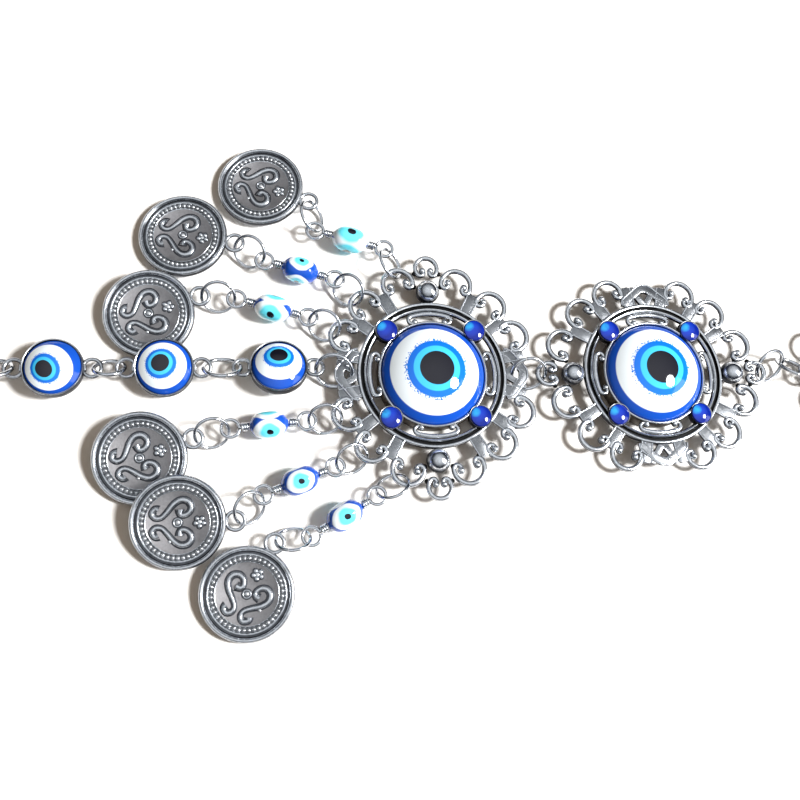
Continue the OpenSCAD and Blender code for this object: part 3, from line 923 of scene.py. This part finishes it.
outline_line = wire_along([half_scroll, mirrored], 0.7, groove_silver, [scroll_fat, scroll_fat],
                          sides=10, steps=90)
petals = grow(pearl_tree, {"Count": 5, "Circle radius": 0.72, "Pearl radius": 0.46,
                           "Finish": rim_silver})
petal_line = grow(pearl_tree, {"Count": 5, "Circle radius": 0.76, "Pearl radius": 0.6,
                               "Finish": groove_silver})
boss_ring = ring_of(0.68, 0.16, rim_silver, steps=40, sides=8)
coin_ball = lathe([(math.cos(a), math.sin(a)) for a in
                   np.linspace(-math.pi / 2, math.pi / 2, 13)], pearl_silver, 20)
boss_hollow = lathe([(1.0, 0.0), (0.0, 0.05)], groove_silver, 32)
coin_loop = ring_of(LOOP_R, CAST_LOOP_WIRE, rim_silver, steps=48)


def pressed(x, y, z, flat):
    """Sinks a raised shape into the field by making it flatter."""
    return Matrix.Translation(Vector((x, y, z)) * MM) @ Matrix.Diagonal((1, 1, flat, 1))


up_is_back = at(0, 0, 0, 90)
coin_parts = [
    (disc, HERE), (pearls, at(0, 0, 0.36)),
    (outline_line, up_is_back @ pressed(0, 0, 0.44, 0.13)),
    (raised, up_is_back @ pressed(0, 0, 0.44, 0.75)),
    (petal_line, up_is_back @ pressed(0, 3.75, 0.44, 0.12)),
    (petals, up_is_back @ pressed(0, 3.75, 0.44, 0.5)),
    (coin_ball, up_is_back @ pressed(0, 3.75, 0.5, 0.3) @ Matrix.Scale(0.37, 4)),
    (boss_hollow, at(0, 0, 0.47)), (boss_ring, at(0, 0, 0.5)),
    (coin_ball, pressed(0, 0, 0.5, 0.5) @ Matrix.Scale(0.46, 4)),
    (coin_ball, up_is_back @ pressed(*polar(3.6, -23), 0.44, 0.6) @ Matrix.Scale(0.3, 4)),
    (coin_ball, up_is_back @ pressed(*polar(3.9, 172), 0.44, 0.6) @ Matrix.Scale(0.28, 4)),
    (coin_loop, at(0.3 - COIN_REACH, 0))]
for body in [f"s{i + 1}_coin" for i in range(6)] + ["c_coin"]:
    place = hangs(body, body) @ at(COIN_REACH, 0)
    piece = gather(body + "_struck", [(part, place @ local) for part, local in coin_parts],
                   body, [body])
print("coin faces", len(piece.data.polygons))

# %% [markdown]
# ## The eye links
# A link is a small cup with an eye in it and a wire loop on each side. The cup is turned
# with a rolled lip, and short lugs carry the loops.

# %% Make the links
LINK_REACH, LINK_LOOP, SMALL_EYE_R = 7.0, 6.7, 5.0
link_cup = lathe([(0, -1.0), (5.1, -1.0), (5.34, -0.85), (5.4, -0.6), (5.4, 0.65), (5.36, 0.9),
                  (5.22, 1.02), (5.08, 0.95), (5.03, 0.7), (5.03, -0.5), (0, -0.5)],
                 cup_silver, 96)
link_loop = ring_of(LOOP_R, CAST_LOOP_WIRE, cup_silver, steps=48)
lug = slab([(5.2, -0.75), (5.75, -0.6), (5.75, 0.6), (5.2, 0.75)], -0.5, 0.5, 0.12, cup_silver)
print_lean = {1: (0.0, -0.3, 0.0), 2: (0.12, -0.14, 0.0), 3: (0.26, 0.2, 0.0)}
for number in (1, 2, 3):
    body = f"link{number}"
    place = hangs(body, body + "_frame") @ at(LINK_REACH, 0)
    parts = [(link_cup, place)]
    for side, turn in ((1, 0), (-1, 180)):
        parts += [(link_loop, place @ at(side * LINK_LOOP, 0)), (lug, place @ at(0, 0, 0, turn))]
    gather(body + "_cup", parts, body, [body + "_frame"])
    finish = printed_eye(body + "_eye_print", place, SMALL_EYE_R, print_lean[number])
    eye = dome(SMALL_EYE_R, -0.48, 0.7, 2.0, finish, 72)
    gather(body + "_glass_eye", [(eye, place)], body, [body + "_eye"])

# %% [markdown]
# ## The hanger
# The top of the hanging carries a ring for a nail, with small studs on its face and an eye
# for the last jump ring. Both are turned from a rounded section, so that no edge is sharp.

# %% Make the hanger
HANGER_R, HANGER_REACH = 5.4, 8.55


def round_section(radius, half_width, half_height, steps, around):
    outline = [(radius + half_width * math.cos(a), half_height * math.sin(a))
               for a in np.linspace(0, 2 * math.pi, steps, endpoint=False)]
    return lathe(outline, cup_silver, around, closed=True)


hanger_place = hangs("hanger", "hanger")
hanger_middle = hanger_place @ at(HANGER_REACH, 0)
big_ring = round_section(HANGER_R, 0.9, 0.68, 20, 96)
small_ring = round_section(2.25, 0.5, 0.68, 16, 56)
studs = grow(pearl_tree, {"Count": 24, "Circle radius": HANGER_R, "Pearl radius": 0.42,
                          "Finish": cup_silver})
gather("hanger_ring", [(big_ring, hanger_middle), (small_ring, hanger_place @ at(0.3, 0)),
                       (studs, hanger_middle @ pressed(0, 0, 0.5, 0.45))],
       "hanger", ["hanger"])

# %% [markdown]
# ## Table, light and camera
# The hanging lies on a white sheet in daylight from the right. A second lamp at the same
# place gives the glints, and a wide window beyond it lights the metal. The room is dark
# at the horizon and pale overhead, which is what makes silver look like silver. The
# camera hangs over the beads and leans towards the first medallion.

# %% Stage, light and camera
TABLE_SIZE, TABLE_DROP = 1.2, 0.0001
bpy.ops.mesh.primitive_plane_add(size=TABLE_SIZE, location=(0.03, 0, -TABLE_DROP))
table = bpy.context.object
table.name = "table"
paper, tree, shader = new_finish("white_sheet")
tree.links.new(mixed(tree, ranged(tree, object_noise(tree, 60.0).outputs["Fac"], 0.3, 0.7),
                     colour(0.93, 0.925, 0.92), colour(0.90, 0.895, 0.885)),
               shader["Base Color"])
shader["Roughness"].default_value = 0.9
table.data.materials.append(paper)


def softbox(name, place, aim, shape, size, power, tint):
    lamp = bpy.data.lights.new(name, "AREA")
    lamp.shape, lamp.size, lamp.size_y = shape, size[0], size[1]
    lamp.energy, lamp.color = power, tint
    light = bpy.data.objects.new(name, lamp)
    bpy.context.scene.collection.objects.link(light)
    light.location = place
    light.rotation_euler = (Vector(aim) - Vector(place)).to_track_quat("-Z", "Y").to_euler()
    return light


MIDDLE, DAY = (0, 0, 0), (1.0, 0.99, 0.97)
daylight = softbox("daylight", (0.42, -0.07, 0.5), MIDDLE, "ELLIPSE", (0.13, 0.16), 6.0, DAY)
daylight.visible_glossy = False
softbox("glint", (0.41, -0.07, 0.5), MIDDLE, "ELLIPSE", (0.2, 0.17), 3.2, DAY)
softbox("window", (0.75, -0.25, 0.42), MIDDLE, "RECTANGLE", (0.5, 0.4), 1.5, (0.97, 0.98, 1.0))
world = bpy.data.worlds.new("room")
world.use_nodes = True
room = world.node_tree
heading = put(room, "ShaderNodeTexCoord").outputs["Generated"]
heading = put(room, "ShaderNodeSeparateXYZ", {0: heading}).outputs["Z"]
height = ranged(room, heading, 0.4, 0.97)
warm = mixed(room, height, colour(0.05, 0.04, 0.03), colour(0.42, 0.35, 0.28))
plain = mixed(room, height, colour(0.025, 0.03, 0.04), colour(0.76, 0.79, 0.81))
gloss = put(room, "ShaderNodeLightPath").outputs["Is Glossy Ray"]
room.links.new(mixed(room, gloss, warm, plain), room.nodes["Background"].inputs["Color"])
bpy.context.scene.world = world
bpy.context.scene.view_settings.view_transform = "Standard"

CAMERA_AT = (-0.03515, -0.0492, 0.165)
camera_data = bpy.data.cameras.new("camera")
camera_data.lens, camera_data.sensor_width = 40.5, 36.0
camera_data.clip_start = 0.005
camera = bpy.data.objects.new("camera", camera_data)
bpy.context.scene.collection.objects.link(camera)
looks = Vector((0.1671, 0.2590, -0.9513)).normalized()
top = Vector((0.0099, 0.9644, 0.2643))
side = looks.cross(top).normalized()
turn = Matrix((side, side.cross(looks), -looks)).transposed()
camera.matrix_world = Matrix.Translation(CAMERA_AT) @ turn.to_4x4()
bpy.context.scene.camera = camera
